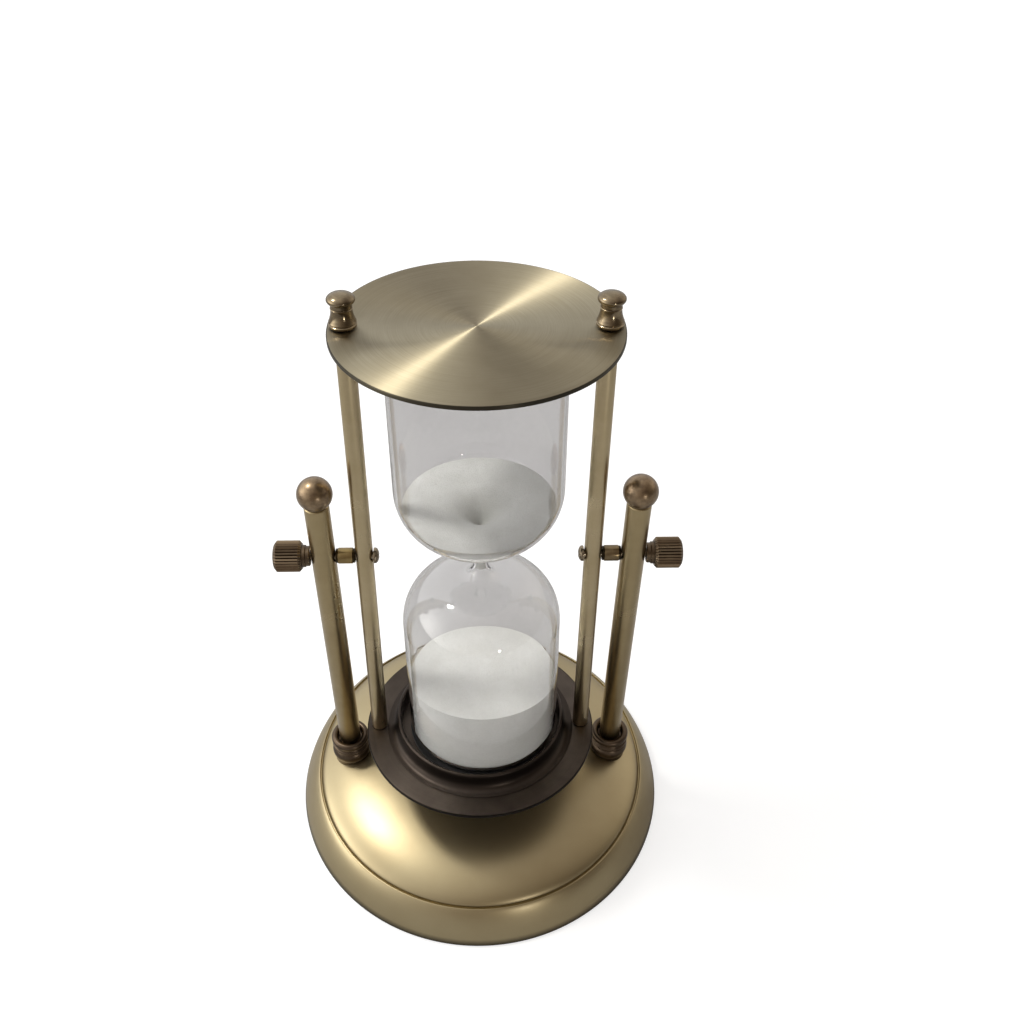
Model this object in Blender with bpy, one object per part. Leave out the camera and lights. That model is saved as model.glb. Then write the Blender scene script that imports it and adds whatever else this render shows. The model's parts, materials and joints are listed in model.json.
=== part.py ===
"""A rotating hourglass in antique brass: a sand timer in a two-plate frame that swings between two posts.

Metres, +Z up. The origin is the centre of the round base's underside. The swinging frame turns about
the X axis through PIVOT_HEIGHT, and it rests with its top leaning a few degrees towards +Y.
"""

import math

import bmesh
import bpy
from mathutils import Matrix

MM = 0.001
GAP = 0.3 * MM

# The base: a spun shell with a domed top, a groove and a rounded outer band.
BASE_RADIUS = 74.5 * MM
BASE_WALL = 1.2 * MM
GROOVE_RADIUS = 66.0 * MM
GROOVE_HEIGHT = 14.6 * MM
GROOVE_DEPTH = 0.7 * MM
DOME_RISE = 11.4 * MM
RIM_HEIGHT = 0.6 * MM
BAND_START = GROOVE_RADIUS + 0.6 * MM
BAND_TOP = GROOVE_HEIGHT + 0.4 * MM
BAND_SQUARENESS = 1.6
BOARD_RADIUS = 70.4 * MM
BOARD_THICKNESS = 3.0 * MM
FELT_THICKNESS = 1.5 * MM
FELT_RADIUS = 71.5 * MM

# The two posts that stand on the base, one at each side.
POST_X = 53.1 * MM
POST_RADIUS = 4.2 * MM
POST_FOOT = 31.0 * MM
STUD_RADIUS = 2.4 * MM
STUD_END = 11.5 * MM
COLLAR_RADIUS = 7.4 * MM
COLLAR_TOP = 34.3 * MM
COLLAR_BEAD_RADIUS = 6.55 * MM
COLLAR_BEAD_WIDTH = 1.1 * MM
COLLAR_BEAD_HALF = 2.1 * MM
COLLAR_BULGE = 25.5 * MM
COLLAR_FOOT = 17.0 * MM
BALL_RADIUS = 5.9 * MM
BALL_HEIGHT = 166.4 * MM
BALL_SEAT_RADIUS = 4.0 * MM
BALL_STUD_RADIUS = 1.6 * MM
BALL_STUD_LENGTH = 7.0 * MM
WASHER_RADIUS = 5.5 * MM
WASHER_TOP = 17.9 * MM
WASHER_THICKNESS = 1.0 * MM
NUT_RADIUS = 5.0 * MM
NUT_THICKNESS = 3.8 * MM

# The pivot: a screw through the rod, a spacer and the post at each side, held by a thumb nut.
PIVOT_HEIGHT = 137.8 * MM
SHANK_RADIUS = 1.5 * MM
SCREW_HEAD_RADIUS = 2.7 * MM
SCREW_HEAD_HEIGHT = 1.8 * MM
SHANK_END = 65.0 * MM
SPACER_RADIUS = 2.65 * MM
KNOB_RADIUS = 5.2 * MM
KNOB_NECK_RADIUS = 3.85 * MM
KNOB_NECK_LENGTH = 3.2 * MM
KNOB_END = 70.1 * MM
KNOB_RIBS = 16
KNOB_RIB_DEPTH = 0.5 * MM

# The swinging frame: two plates held apart by two rods, with a turned nut on each rod end.
FRAME_LEAN = math.radians(5.35)
PLATE_RADIUS = 44.0 * MM
PLATE_THICKNESS = 1.3 * MM
FRAME_HALF = 88.0 * MM
ROD_X = 39.2 * MM
ROD_RADIUS = 3.0 * MM
ROD_STUD_RADIUS = 1.8 * MM
ROD_STUD_LENGTH = 5.0 * MM
FINIAL_RADIUS = 4.2 * MM
FINIAL_HEIGHT = 10.5 * MM
FINIAL_WAIST = 0.9 * MM
FINIAL_CAP_HALF = 2.0 * MM
CUP_BORE = 30.4 * MM
CUP_HEIGHT = 7.0 * MM
CUP_LIP = 0.8 * MM
CUP_FOOT_RADIUS = 35.0 * MM

# The glass vial: two bulbs joined by a neck, blown in one piece, with a filler hole in one end.
VIAL_RADIUS = 28.2 * MM
VIAL_WALL = 1.6 * MM
VIAL_HALF = 85.0 * MM
VIAL_END_ROUND = 6.0 * MM
SHOULDER_HEIGHT = 30.0 * MM
SHOULDER_RISE = 20.5 * MM
NECK_RADIUS = 2.5 * MM
NECK_ROUND = 6.0 * MM
FILLER_RADIUS = 3.5 * MM
STOPPER_LENGTH = 6.0 * MM
PAD_RADIUS = 27.0 * MM

# The sand, by its height on the frame's own axis, from the neck.
UPPER_SAND_EDGE = 23.0 * MM
UPPER_SAND_CRATER = 6.0 * MM
LOWER_SAND_EDGE = -58.5 * MM
LOWER_SAND_CREST = 2.5 * MM

BALL_SEAT = BALL_HEIGHT - math.sqrt(BALL_RADIUS ** 2 - BALL_SEAT_RADIUS ** 2)
STUD_HOLE = STUD_RADIUS + 2 * GAP
CLEARANCE_HOLE = SHANK_RADIUS + GAP
PLATE_INSIDE = FRAME_HALF - PLATE_THICKNESS
SIDES = {"left": -1, "right": 1}
ENDS = {"top": 1, "bottom": -1}


def clear_scene():
    for old in list(bpy.data.objects):
        bpy.data.objects.remove(old, do_unlink=True)


def make_material(name, colour, roughness, metallic=0.0, transmission=0.0):
    material = bpy.data.materials.new(name)
    material.use_nodes = True
    shader = material.node_tree.nodes["Principled BSDF"]
    shader.inputs["Base Color"].default_value = (*colour, 1.0)
    shader.inputs["Roughness"].default_value = roughness
    shader.inputs["Metallic"].default_value = metallic
    shader.inputs["Transmission Weight"].default_value = transmission
    return material


def add_object(name, mesh, material, parent=None):
    mesh.materials.append(material)
    mesh.shade_smooth()
    mesh.set_sharp_from_angle(angle=math.radians(35))
    obj = bpy.data.objects.new(name, mesh)
    bpy.context.scene.collection.objects.link(obj)
    obj.parent = parent
    return obj


def spin_outline(outline, steps, ring):
    """A bmesh of an outline of (radius, height) points turned about Z. A ring's outline closes on itself."""
    bm = bmesh.new()
    verts = [bm.verts.new((radius, 0.0, height)) for radius, height in outline]
    edges = [bm.edges.new(pair) for pair in zip(verts, verts[1:])]
    if ring:
        edges.append(bm.edges.new((verts[-1], verts[0])))
    bmesh.ops.spin(bm, geom=verts + edges, axis=(0, 0, 1), cent=(0, 0, 0),
                   angle=math.tau, steps=steps, use_merge=True)
    bmesh.ops.remove_doubles(bm, verts=bm.verts, dist=1e-7)
    bmesh.ops.recalc_face_normals(bm, faces=bm.faces)
    return bm


def turned(name, outline, material, parent=None, steps=32, ring=False):
    bm = spin_outline(outline, steps, ring)
    mesh = bpy.data.meshes.new(name)
    bm.to_mesh(mesh)
    bm.free()
    return add_object(name, mesh, material, parent)


def arc(centre, radius_r, radius_z, start, end, steps):
    """Points of an elliptical arc in the (radius, height) plane, with angles in degrees from +radius."""
    points = []
    for i in range(steps + 1):
        angle = math.radians(start + (end - start) * i / steps)
        points.append((centre[0] + radius_r * math.cos(angle), centre[1] + radius_z * math.sin(angle)))
    return points


def add_cutter(name, radius, depth, place, turn=(0.0, 0.0, 0.0), parent=None, sides=24):
    """A round cutter centred at place, along its own Z."""
    bm = bmesh.new()
    bmesh.ops.create_cone(bm, cap_ends=True, segments=sides, radius1=radius, radius2=radius, depth=depth)
    mesh = bpy.data.meshes.new(name)
    bm.to_mesh(mesh)
    bm.free()
    cutter = bpy.data.objects.new(name, mesh)
    bpy.context.scene.collection.objects.link(cutter)
    cutter.location = place
    cutter.rotation_euler = turn
    cutter.parent = parent
    return hide_helper(cutter)


def hide_helper(helper):
    helper.hide_render = True
    helper.display_type = "WIRE"
    return helper


def cut(obj, cutter):
    modifier = obj.modifiers.new(cutter.name, "BOOLEAN")
    modifier.operation = "DIFFERENCE"
    modifier.object = cutter


def dome_height(radius):
    """The height of the base's domed top, outside."""
    return GROOVE_HEIGHT + DOME_RISE * max(0.0, 1 - (radius / GROOVE_RADIUS) ** 2.6) ** 0.6


def dome_outline(lift, steps=9):
    """The domed top from the centre to the groove, lifted by a distance, with closer points at the edge."""
    radii = [GROOVE_RADIUS * math.sin(math.pi / 2 * i / steps) for i in range(steps + 1)]
    return [(radius, dome_height(radius) + lift) for radius in radii]


def band_outline(inset, steps=5):
    """The sloping outer band from beside the groove down to the rim, moved inwards by a distance."""
    points = []
    for i in range(steps + 1):
        angle = math.pi / 2 * i / steps
        out = math.sin(angle) ** BAND_SQUARENESS
        up = math.cos(angle) ** BAND_SQUARENESS
        points.append((BAND_START - inset + (BASE_RADIUS - BAND_START) * out,
                       RIM_HEIGHT + (BAND_TOP - inset - RIM_HEIGHT) * up))
    return points


def make_base(brass, board_material, felt_material):
    crease = [(GROOVE_RADIUS + 0.2 * MM, GROOVE_HEIGHT - GROOVE_DEPTH)]
    inner_dome = [(r, z) for r, z in dome_outline(-BASE_WALL) if r < GROOVE_RADIUS - 3 * MM]
    outside = dome_outline(0.0)[:-1] + crease + band_outline(0.0)
    inside = inner_dome + band_outline(BASE_WALL)[1:]
    shell = turned("base_dome", outside + inside[::-1], brass, steps=40)
    for side, sign in SIDES.items():
        cut(shell, add_cutter(f"cut_post_hole_{side}", STUD_HOLE, 30 * MM,
                              (sign * POST_X, 0, dome_height(POST_X))))
    board_low = FELT_THICKNESS + GAP
    board_high = board_low + BOARD_THICKNESS
    turned("base_board", [(0, board_high), (BOARD_RADIUS, board_high), (BOARD_RADIUS, board_low),
                          (0, board_low)], board_material, steps=40)
    turned("base_felt", [(0, FELT_THICKNESS), (FELT_RADIUS, FELT_THICKNESS), (FELT_RADIUS, 0), (0, 0)],
           felt_material, steps=40)


def post_outline():
    """The post, with a stud below for the collar and a blind hole above for the ball's stud."""
    top = BALL_SEAT - GAP
    hole = BALL_STUD_RADIUS + GAP
    hole_end = BALL_SEAT - BALL_STUD_LENGTH - 1 * MM
    edge = 0.3 * MM
    foot = POST_FOOT + GAP
    return [(0, hole_end), (hole, hole_end), (hole, top), (POST_RADIUS - edge, top),
            (POST_RADIUS, top - edge), (POST_RADIUS, foot), (STUD_RADIUS, foot),
            (STUD_RADIUS, STUD_END), (0, STUD_END)]


def ball_outline():
    """The ball from its crown to the flat it sits on, with its stud below."""
    low = -math.degrees(math.acos(BALL_SEAT_RADIUS / BALL_RADIUS))
    round_side = arc((0, BALL_HEIGHT), BALL_RADIUS, BALL_RADIUS, 90, low, 8)
    stud_end = BALL_SEAT - BALL_STUD_LENGTH
    stud = [(BALL_STUD_RADIUS, BALL_SEAT), (BALL_STUD_RADIUS, stud_end), (0, stud_end)]
    return [(0, BALL_HEIGHT + BALL_RADIUS)] + round_side[1:] + stud


def collar_outline():
    """A cupped socket with a beaded lip: the post stands on its floor. The saddle cut trims its foot."""
    cup = COLLAR_BEAD_RADIUS - 0.65 * MM
    bead_middle = (COLLAR_BEAD_RADIUS, COLLAR_TOP - COLLAR_BEAD_HALF)
    bead = arc(bead_middle, COLLAR_BEAD_WIDTH, COLLAR_BEAD_HALF, 150, -60, 6)
    body = arc((COLLAR_RADIUS - 1.5 * MM, COLLAR_BULGE), 1.5 * MM, 4.0 * MM, 80, 0, 2)
    foot = [(COLLAR_RADIUS - 0.3 * MM, COLLAR_FOOT), (STUD_HOLE, COLLAR_FOOT)]
    return [(STUD_HOLE, POST_FOOT), (cup, POST_FOOT)] + bead + body + foot


def flat_ring_outline(radius, high, low):
    """A washer or a nut on the post's stud."""
    return [(STUD_HOLE, high), (radius, high), (radius, low), (STUD_HOLE, low)]


def make_post(side, sign, brass, dark_brass, steel, saddle):
    place = (sign * POST_X, 0, 0)
    post = turned(f"{side}_post", post_outline(), brass, steps=20)
    cut(post, add_cutter(f"cut_post_bore_{side}", CLEARANCE_HOLE, 20 * MM,
                         (sign * POST_X, 0, PIVOT_HEIGHT), (0, math.pi / 2, 0)))
    ball = turned(f"{side}_post_ball", ball_outline(), dark_brass, steps=16)
    collar = turned(f"{side}_post_collar", collar_outline(), dark_brass, steps=16, ring=True)
    cut(collar, saddle)
    washer_low = WASHER_TOP - WASHER_THICKNESS
    washer = turned(f"{side}_post_washer", flat_ring_outline(WASHER_RADIUS, WASHER_TOP, washer_low),
                    steel, steps=16, ring=True)
    nut_top = washer_low - GAP
    nut = turned(f"{side}_post_nut", flat_ring_outline(NUT_RADIUS, nut_top, nut_top - NUT_THICKNESS),
                 steel, steps=6, ring=True)
    for obj in (post, ball, collar, washer, nut):
        obj.location = place


def screw_outline():
    """The head faces inwards at the low end. Heights are distances out from the object's centre."""
    seat = ROD_X - ROD_RADIUS - GAP
    rim = 0.5 * MM
    shank = [(0, SHANK_END), (SHANK_RADIUS, SHANK_END), (SHANK_RADIUS, seat)]
    crown = arc((0, seat - rim), SCREW_HEAD_RADIUS, SCREW_HEAD_HEIGHT - rim, 0, -90, 4)
    return shank + [(SCREW_HEAD_RADIUS, seat)] + crown


def spacer_outline():
    inner = ROD_X + ROD_RADIUS + GAP
    outer = POST_X - POST_RADIUS - GAP
    step = 0.7 * MM
    neck = SPACER_RADIUS - 0.4 * MM
    return [(CLEARANCE_HOLE, outer), (neck, outer), (neck, outer - step), (SPACER_RADIUS, outer - step),
            (SPACER_RADIUS, inner + step), (neck, inner + step), (neck, inner), (CLEARANCE_HOLE, inner)]


def knob_outline():
    """A thumb nut: a plain neck against the post, then a ribbed grip with a chamfer at each end."""
    start = POST_X + POST_RADIUS + GAP
    grip = start + KNOB_NECK_LENGTH
    edge = 0.5 * MM
    hole_end = SHANK_END + 1 * MM
    return [(0, KNOB_END), (KNOB_RADIUS - 1.4 * MM, KNOB_END), (KNOB_RADIUS, KNOB_END - 1.1 * MM),
            (KNOB_RADIUS, grip + 0.8 * MM), (KNOB_RADIUS - 0.9 * MM, grip),
            (KNOB_NECK_RADIUS, grip), (KNOB_NECK_RADIUS, start + edge), (KNOB_NECK_RADIUS - edge, start),
            (CLEARANCE_HOLE, start), (CLEARANCE_HOLE, hole_end), (0, hole_end)]


def make_knob(side, tilt, brass):
    """The ribs come from every second line of points on the grip, drawn in towards the axis."""
    steps = 2 * KNOB_RIBS
    bm = spin_outline(knob_outline(), steps, ring=False)
    for vert in bm.verts:
        radius = math.hypot(vert.co.x, vert.co.y)
        line = round(math.atan2(vert.co.y, vert.co.x) / (math.tau / steps))
        if radius > KNOB_RADIUS - 0.1 * MM and line % 2:
            vert.co.xy *= (KNOB_RADIUS - KNOB_RIB_DEPTH) / radius
    bmesh.ops.recalc_face_normals(bm, faces=bm.faces)
    mesh = bpy.data.meshes.new(f"{side}_thumb_nut")
    bm.to_mesh(mesh)
    bm.free()
    knob = add_object(f"{side}_thumb_nut", mesh, brass)
    knob.location = (0, 0, PIVOT_HEIGHT)
    knob.rotation_euler = tilt


def make_pivot(side, sign, brass, dark_brass):
    """Screw, spacer and thumb nut lie on the pivot axis, with their own +Z pointing outwards."""
    tilt = (0, sign * math.pi / 2, 0)
    screw = turned(f"{side}_pivot_screw", screw_outline(), brass, steps=16)
    spacer = turned(f"{side}_spacer", spacer_outline(), dark_brass, steps=16, ring=True)
    for obj in (screw, spacer):
        obj.location = (0, 0, PIVOT_HEIGHT)
        obj.rotation_euler = tilt
    make_knob(side, tilt, dark_brass)


def plate_outline():
    edge = 0.25 * MM
    return [(0, FRAME_HALF), (PLATE_RADIUS - edge, FRAME_HALF), (PLATE_RADIUS, FRAME_HALF - edge),
            (PLATE_RADIUS, PLATE_INSIDE + edge), (PLATE_RADIUS - edge, PLATE_INSIDE), (0, PLATE_INSIDE)]


def cup_ring_outline():
    """The raised ring round the glass, soldered to the plate's inner face: straight bore, flared outside."""
    base = PLATE_INSIDE - GAP
    lip = base - CUP_HEIGHT
    lip_middle = CUP_BORE + CUP_LIP
    lip_outside = lip_middle + CUP_LIP
    flare = []
    for i in range(1, 4):
        share = i / 3
        flare.append((lip_outside + (CUP_FOOT_RADIUS - lip_outside) * share ** 2,
                      lip + CUP_LIP + (CUP_HEIGHT - 1.5 * CUP_LIP) * share))
    rim = arc((lip_middle, lip + CUP_LIP), CUP_LIP, CUP_LIP, 180, 360, 3)
    return [(CUP_BORE, base)] + rim + flare + [(CUP_FOOT_RADIUS, base)]


def rod_outline():
    half = PLATE_INSIDE - GAP
    end = FRAME_HALF + ROD_STUD_LENGTH
    return [(0, end), (ROD_STUD_RADIUS, end), (ROD_STUD_RADIUS, half), (ROD_RADIUS, half),
            (ROD_RADIUS, -half), (ROD_STUD_RADIUS, -half), (ROD_STUD_RADIUS, -end), (0, -end)]


def finial_outline():
    """A vase-shaped nut: grooved foot, waisted body and a lens-shaped cap, with a blind hole underneath."""
    foot = FRAME_HALF + GAP
    cap = foot + FINIAL_HEIGHT - FINIAL_CAP_HALF
    hole = ROD_STUD_RADIUS + GAP
    hole_end = foot + ROD_STUD_LENGTH + 0.5 * MM
    flat_foot = [(FINIAL_RADIUS, foot), (FINIAL_RADIUS, foot + 1.0 * MM),
                 (FINIAL_RADIUS - 0.3 * MM, foot + 1.3 * MM)]
    body = []
    for i in range(4):
        share = i / 3
        body.append((FINIAL_RADIUS - FINIAL_WAIST * (1 - (1 - share) ** 2), foot + (1.7 + 3.6 * share) * MM))
    top = arc((0, cap), FINIAL_RADIUS, FINIAL_CAP_HALF, -38, 90, 6)
    return ([(0, hole_end), (hole, hole_end), (hole, foot)] + flat_foot + body + top[:-1]
            + [(0, cap + FINIAL_CAP_HALF)])


def vial_half(wall):
    """Half of the vial's side from the neck to the flat end, moved in by a wall's thickness."""
    radius = VIAL_RADIUS - wall
    neck = NECK_RADIUS - wall
    crook = NECK_RADIUS + NECK_ROUND
    low = SHOULDER_HEIGHT - SHOULDER_RISE
    # Outside, the neck's hollow curve has radius NECK_ROUND; inside, the wall adds to it.
    throat = arc((crook, low - NECK_ROUND), NECK_ROUND + wall, NECK_ROUND + wall, 180, 90, 4)
    shoulder = arc((crook, SHOULDER_HEIGHT), radius - crook, SHOULDER_RISE - wall, -90, 0, 6)
    corner = arc((VIAL_RADIUS - VIAL_END_ROUND, VIAL_HALF - VIAL_END_ROUND),
                 VIAL_END_ROUND - wall, VIAL_END_ROUND - wall, 0, 90, 3)
    return [(neck, 0)] + throat + shoulder[1:] + corner


def mirrored(points):
    return [(radius, -height) for radius, height in reversed(points)]


def vial_outline():
    """Outside from the closed end up to the filler hole, then back down the inside."""
    outside = vial_half(0.0)
    inside = vial_half(VIAL_WALL)
    outer = [(0, -VIAL_HALF)] + mirrored(outside) + outside[1:] + [(FILLER_RADIUS, VIAL_HALF)]
    inner = ([(FILLER_RADIUS, VIAL_HALF - VIAL_WALL)] + inside[::-1] + mirrored(inside)[::-1][1:]
             + [(0, -VIAL_HALF + VIAL_WALL)])
    return outer + inner


def bulb_inside(height):
    """How far the sand reaches from the axis at a height above the neck: the inner wall less a gap."""
    wall = vial_half(VIAL_WALL)
    for (r0, z0), (r1, z1) in zip(wall, wall[1:]):
        if z0 <= height <= z1 and z1 > z0:
            return r0 + (r1 - r0) * (height - z0) / (z1 - z0) - GAP
    return VIAL_RADIUS - VIAL_WALL - GAP


def upper_sand_outline():
    """A funnel: sand lies on the shoulder and sinks to a crater over the neck."""
    start = SHOULDER_HEIGHT - SHOULDER_RISE + VIAL_WALL + GAP
    levels = [start + (UPPER_SAND_EDGE - start) * (i / 6) ** 1.8 for i in range(7)]
    side = [(bulb_inside(level - GAP) - GAP, level) for level in levels]
    neck = [(0, start - 1.5 * MM), (1.0 * MM, start - 1.0 * MM)]
    edge = side[-1][0]
    crater = [(edge * (1 - i / 6), UPPER_SAND_EDGE - UPPER_SAND_CRATER * (i / 6) ** 1.4) for i in range(1, 7)]
    return neck + side + crater


def lower_sand_outline():
    """A heap in the lower bulb: flat below, rounded at the glass's corner, slightly raised in the middle."""
    radius = VIAL_RADIUS - VIAL_WALL - GAP
    bottom = -VIAL_HALF + VIAL_WALL + GAP
    round_size = VIAL_END_ROUND - VIAL_WALL
    corner = arc((radius - round_size, bottom + round_size), round_size, round_size, -90, 0, 3)
    top = [(radius * (1 - i / 5), LOWER_SAND_EDGE + LOWER_SAND_CREST * math.sin(math.pi / 2 * i / 5))
           for i in range(6)]
    return [(0, bottom)] + corner + top


def make_plates(frame, brass, dark_brass):
    for end, sign in ENDS.items():
        turn = (0 if sign > 0 else math.pi, 0, 0)
        material = brass if sign > 0 else dark_brass
        plate = turned(f"{end}_plate", plate_outline(), material, frame, steps=40)
        ring = turned(f"{end}_cup_ring", cup_ring_outline(), dark_brass, frame, steps=28, ring=True)
        for obj in (plate, ring):
            obj.rotation_euler = turn
        for side, across in SIDES.items():
            cut(plate, add_cutter(f"cut_{end}_plate_{side}", ROD_STUD_RADIUS + GAP, 6 * MM,
                                  (across * ROD_X, 0, sign * FRAME_HALF), parent=frame))


def make_rods(frame, brass, polished):
    for side, across in SIDES.items():
        rod = turned(f"{side}_rod", rod_outline(), brass, frame, steps=16)
        rod.location = (across * ROD_X, 0, 0)
        cut(rod, add_cutter(f"cut_rod_bore_{side}", CLEARANCE_HOLE, 20 * MM,
                            (across * ROD_X, 0, 0), (0, math.pi / 2, 0), frame))
        for end, sign in ENDS.items():
            finial = turned(f"{end}_{side}_finial", finial_outline(), polished, frame, steps=12)
            finial.location = (across * ROD_X, 0, 0)
            finial.rotation_euler = (0 if sign > 0 else math.pi, 0, 0)


def make_timer(frame, glass, sand, cork, padding):
    turned("glass_vial", vial_outline(), glass, frame, steps=24)
    plug = FILLER_RADIUS - GAP
    plug_top = VIAL_HALF - GAP
    plug_end = VIAL_HALF - STOPPER_LENGTH
    turned("vial_stopper", [(0, plug_top), (plug, plug_top), (plug - 0.3 * MM, plug_end), (0, plug_end)],
           cork, frame, steps=16)
    turned("upper_sand", upper_sand_outline(), sand, frame, steps=20)
    turned("lower_sand", lower_sand_outline(), sand, frame, steps=20)
    high = PLATE_INSIDE - GAP
    low = VIAL_HALF + GAP
    for end, sign in ENDS.items():
        pad = turned(f"{end}_cushion_pad", [(0, high), (PAD_RADIUS, high), (PAD_RADIUS, low), (0, low)],
                     padding, frame, steps=24)
        pad.rotation_euler = (0 if sign > 0 else math.pi, 0, 0)


def make_frame_pivot():
    """The empty that carries the swinging frame: it sits on the pivot axis and holds the lean."""
    pivot = bpy.data.objects.new("frame_pivot", None)
    bpy.context.scene.collection.objects.link(pivot)
    pivot.matrix_world = Matrix.Translation((0, 0, PIVOT_HEIGHT)) @ Matrix.Rotation(-FRAME_LEAN, 4, "X")
    return pivot


def make_saddle_cutter(material):
    """The solid under the dome's surface, which shapes the collars' undersides."""
    outline = dome_outline(GAP + 0.1 * MM) + [(GROOVE_RADIUS, 10 * MM), (0, 10 * MM)]
    return hide_helper(turned("cut_collar_saddle", outline, material, steps=40))


def main():
    clear_scene()
    brass = make_material("antique_brass", (0.34, 0.28, 0.17), 0.34, metallic=1.0)
    dark_brass = make_material("dark_brass", (0.13, 0.10, 0.075), 0.38, metallic=1.0)
    polished = make_material("polished_brass", (0.50, 0.36, 0.20), 0.16, metallic=1.0)
    steel = make_material("plated_steel", (0.50, 0.50, 0.50), 0.35, metallic=1.0)
    glass = make_material("clear_glass", (0.95, 0.97, 0.97), 0.02, transmission=1.0)
    sand = make_material("white_sand", (0.72, 0.73, 0.70), 0.95)
    cork = make_material("cork", (0.52, 0.36, 0.22), 0.9)
    felt = make_material("black_felt", (0.02, 0.02, 0.02), 1.0)
    board = make_material("hardboard", (0.28, 0.18, 0.10), 0.8)

    make_base(brass, board, felt)
    saddle = make_saddle_cutter(brass)
    for side, sign in SIDES.items():
        make_post(side, sign, brass, dark_brass, steel, saddle)
        make_pivot(side, sign, brass, dark_brass)
    frame = make_frame_pivot()
    make_plates(frame, brass, dark_brass)
    make_rods(frame, brass, polished)
    make_timer(frame, glass, sand, cork, felt)


main()
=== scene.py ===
"""The looks of a rotating hourglass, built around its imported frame: metres, +Z up, the viewer towards -Y."""

import json
import math

import bpy
from mathutils import Matrix, Vector


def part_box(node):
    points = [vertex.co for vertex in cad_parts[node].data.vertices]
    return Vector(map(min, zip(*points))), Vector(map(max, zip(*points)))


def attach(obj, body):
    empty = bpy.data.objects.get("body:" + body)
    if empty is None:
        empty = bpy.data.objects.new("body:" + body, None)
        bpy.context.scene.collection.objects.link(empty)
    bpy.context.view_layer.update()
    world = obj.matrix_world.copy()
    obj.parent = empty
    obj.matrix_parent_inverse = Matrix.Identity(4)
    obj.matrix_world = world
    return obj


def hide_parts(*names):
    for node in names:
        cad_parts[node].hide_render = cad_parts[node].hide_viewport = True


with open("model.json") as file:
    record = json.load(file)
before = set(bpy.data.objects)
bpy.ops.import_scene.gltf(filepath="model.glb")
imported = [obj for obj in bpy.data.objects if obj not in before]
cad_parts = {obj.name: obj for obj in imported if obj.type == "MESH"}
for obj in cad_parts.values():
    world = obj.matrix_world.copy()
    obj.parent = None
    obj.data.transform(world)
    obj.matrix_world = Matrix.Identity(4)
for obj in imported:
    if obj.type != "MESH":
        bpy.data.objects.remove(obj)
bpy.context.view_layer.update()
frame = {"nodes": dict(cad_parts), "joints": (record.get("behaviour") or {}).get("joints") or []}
nodes = frame["nodes"]
MM = 0.001

# ---- The view ------------------------------------------------
# The camera looks down at the hourglass from in front, as someone standing at the table would.
CAMERA_PLACE = Vector((-0.44 * MM, -261.1 * MM, 406.0 * MM))
CAMERA_DOWN = math.radians(43.54)
CAMERA_RIGHT = math.radians(2.52)
CAMERA_ROLL = math.radians(1.21)

camera_data = bpy.data.cameras.new("camera")
camera_data.sensor_width = 36.0
camera_data.lens = 38.27
camera_data.clip_start = 0.01
camera = bpy.data.objects.new("camera", camera_data)
bpy.context.scene.collection.objects.link(camera)
aim = (Matrix.Rotation(-CAMERA_RIGHT, 4, "Z") @ Matrix.Rotation(math.pi / 2 - CAMERA_DOWN, 4, "X")
       @ Matrix.Rotation(CAMERA_ROLL, 4, "Z"))
camera.matrix_world = Matrix.Translation(CAMERA_PLACE) @ aim
bpy.context.scene.camera = camera

# ---- The table and the light ---------------------------------
# A pale seamless table in a white room. The light is soft: glows from the upper left, from behind on the
# right and from a low window on the left, a darker warm side in front on the right, and two small lamps.
# Each glow is where it comes from, how tight it is, how strong it is, and its colour.
TABLE_SIZE = 12.0
TABLE_GREY = (0.485, 0.488, 0.495, 1.0)
TABLE_GLOW = 0.64
GLOWS = (((-0.50, 0.10, 0.85), 6.0, 0.5, (1.0, 0.985, 0.93)),
         ((0.80, 0.38, 0.36), 9.0, 0.65, (1.0, 0.97, 0.88)),
         ((-0.97, -0.08, 0.18), 12.0, 2.9, (1.0, 0.98, 0.92)))
ROOM_MIDDLE = 0.58
ROOM_SLOPE = (-0.42, 0.30, 0.02)
ROOM_DARKEST = 0.12
ROOM_WARM = (0.95, 0.76, 0.60, 1.0)
ROOM_COOL = (0.98, 0.985, 1.0, 1.0)
LAMP_DISTANCE = 0.95
LAMP_TARGET = Vector((0, 0, 0.12))
LAMP_COLOUR = (1.0, 0.98, 0.93)


def calculated(tree, how, *values):
    """A Math node of sockets and numbers."""
    node = tree.nodes.new("ShaderNodeMath")
    node.operation = how
    for socket, value in zip(node.inputs, values):
        if isinstance(value, (int, float)):
            socket.default_value = value
        else:
            tree.links.new(value, socket)
    return node.outputs["Value"]


def ranged(tree, value, low, high, to_low, to_high):
    """A value's stretch from low to high, spread over another range."""
    spread = tree.nodes.new("ShaderNodeMapRange")
    for socket, number in (("From Min", low), ("From Max", high), ("To Min", to_low), ("To Max", to_high)):
        spread.inputs[socket].default_value = number
    tree.links.new(value, spread.inputs["Value"])
    return spread.outputs["Result"]


def along(tree, vector, direction):
    """How far a vector goes in a direction."""
    dot = tree.nodes.new("ShaderNodeVectorMath")
    dot.operation = "DOT_PRODUCT"
    dot.inputs[1].default_value = direction
    tree.links.new(vector, dot.inputs[0])
    return dot.outputs["Value"]


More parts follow.
